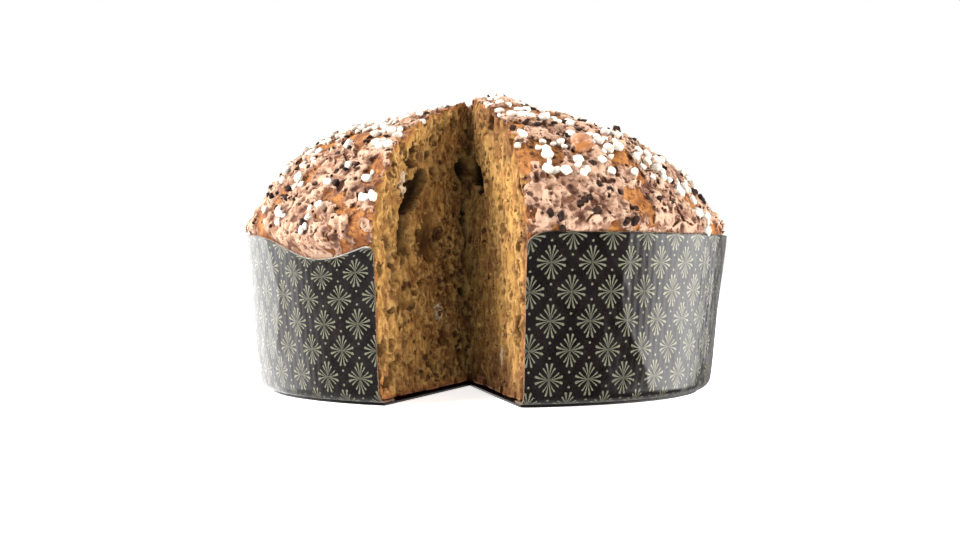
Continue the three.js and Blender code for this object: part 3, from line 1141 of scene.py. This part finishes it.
def paper_material():
    s = Shader("mould_paper")
    ink = s.math("MULTIPLY", ornament(s), s.step(s.noise(0.8, 2, 0.6), 0.1, 0.4, 0.75, 1.0))
    shade = s.step(s.noise(12, 3, 0.6), 0.35, 0.65)
    ground = s.mix(shade, rgb(0.004, 0.0026, 0.0023), rgb(0.008, 0.0052, 0.0045))
    colour = s.mix(ink, ground, rgb(0.185, 0.182, 0.124))
    tall = s.stretched(1, 1, 0.15)
    return s.finish(
        Base_Color=colour,
        Metallic=s.math("MULTIPLY", ink, 0.45),
        Roughness=s.step(s.noise(7, 3, 0.6), 0.3, 0.7, 0.24, 0.34),
        IOR=1.55,
        Normal=s.bump(s.noise(1.1, 3, 0.6, tall), 0.03),
    )


def paper_edge_material():
    s = Shader("mould_paper_bare")
    shade = s.step(s.noise(1.2, 4, 0.7), 0.35, 0.65)
    colour = s.mix(shade, rgb(0.21, 0.135, 0.085), rgb(0.085, 0.050, 0.032))
    return s.finish(Base_Color=colour, Roughness=0.8, Normal=s.bump(s.noise(0.5, 3, 0.7), 0.08))


def base_material():
    s = Shader("base_paper")
    shade = s.step(s.noise(6, 4, 0.6), 0.35, 0.65)
    colour = s.mix(shade, rgb(0.010, 0.007, 0.006), rgb(0.020, 0.013, 0.011))
    return s.finish(Base_Color=colour, Roughness=0.55, Normal=s.bump(s.noise(1.1, 3, 0.7), 0.05))


# ---- camera, light and floor ----


def aimed(location, target):
    """The rotation of a lamp that shines from its location at a target."""
    return (Vector(target) - Vector(location)).to_track_quat("-Z", "Y").to_euler()


def make_camera():
    camera = bpy.data.objects.new("camera", bpy.data.cameras.new("camera"))
    bpy.context.collection.objects.link(camera)
    camera.data.sensor_width = 36
    camera.data.lens = 50.6
    camera.data.clip_start = 0.01
    camera.location = (-0.0023, -0.607, 0.054)
    camera.rotation_euler = (math.radians(90 - 0.17), 0, 0)
    bpy.context.scene.camera = camera


def softbox(name, location, target, size, power, lights_crust=True, seen_in_gloss=True):
    """An area light; either its diffuse light or its reflection can be left out."""
    light = bpy.data.lights.new(name, "AREA")
    light.shape = "RECTANGLE"
    light.size, light.size_y = size
    light.energy = power
    lamp = bpy.data.objects.new(name, light)
    bpy.context.collection.objects.link(lamp)
    lamp.location = location
    lamp.rotation_euler = aimed(location, target)
    lamp.visible_diffuse = lights_crust
    lamp.visible_glossy = seen_in_gloss


def make_world():
    """White to the camera, dim for light; for gloss, bright behind the cake and dark in front and right."""
    world = bpy.data.worlds.new("studio")
    bpy.context.scene.world = world
    g = Graph(world)
    apart = g.node("ShaderNodeSeparateXYZ", None, {0: g.node("ShaderNodeTexCoord").outputs["Generated"]})
    behind = g.step(apart.outputs["Y"], -0.25, 0.35, 0.10, 0.55, "LINEAR")
    right = g.step(apart.outputs["X"], 0.50, 0.60, 1.0, 0.08, "LINEAR")

    def white(strength):
        return g.node("ShaderNodeBackground", None, {0: rgb(1, 1, 1), 1: strength}).outputs[0]

    def mixed(kind_of_ray, a, b):
        ray = g.node("ShaderNodeLightPath").outputs[kind_of_ray]
        return g.node("ShaderNodeMixShader", None, {0: ray, 1: a, 2: b}).outputs[0]

    light_or_gloss = mixed("Is Glossy Ray", white(0.34), white(g.math("MULTIPLY", behind, right)))
    g.feed(g.nodes["World Output"].inputs["Surface"], mixed("Is Camera Ray", light_or_gloss, white(1.0)))


def make_floor():
    mesh = bpy.data.meshes.new("floor")
    mesh.from_pydata([(-9, -9, 0), (9, -9, 0), (9, 9, 0), (-9, 9, 0)], [], [(0, 1, 2, 3)])
    floor = bpy.data.objects.new("floor", mesh)
    bpy.context.collection.objects.link(floor)
    white = Shader("floor_white").finish(
        Base_Color=rgb(0.9, 0.9, 0.9),
        Roughness=0.9,
        Specular_IOR_Level=0.1,
        Emission_Color=rgb(1, 1, 1),
        Emission_Strength=0.78,
    )
    mesh.materials.append(white)
    floor.visible_glossy = False


make_camera()
make_world()
make_floor()
softbox("key_left", (-0.95, -0.35, 0.75), (0, 0, 0.08), (0.9, 0.9), 47)
softbox("fill_right", (0.86, -0.25, 0.30), (0, 0, 0.08), (0.74, 0.6), 17.5, seen_in_gloss=False)
softbox("top_back", (0.1, 0.7, 1.0), (0, 0, 0.08), (0.9, 0.6), 5.5)
softbox("panel_right", (0.87, 0.15, -0.02), (0, 0, -0.02), (0.66, 0.8), 6.7, lights_crust=False)
softbox("panel_left", (-0.69, 0.58, -0.02), (0, 0, -0.02), (1.2, 0.8), 6.5, lights_crust=False)
bpy.context.scene.view_settings.view_transform = "Standard"

cake = make_cake()
make_toppings(Crust(cake))
make_mould()
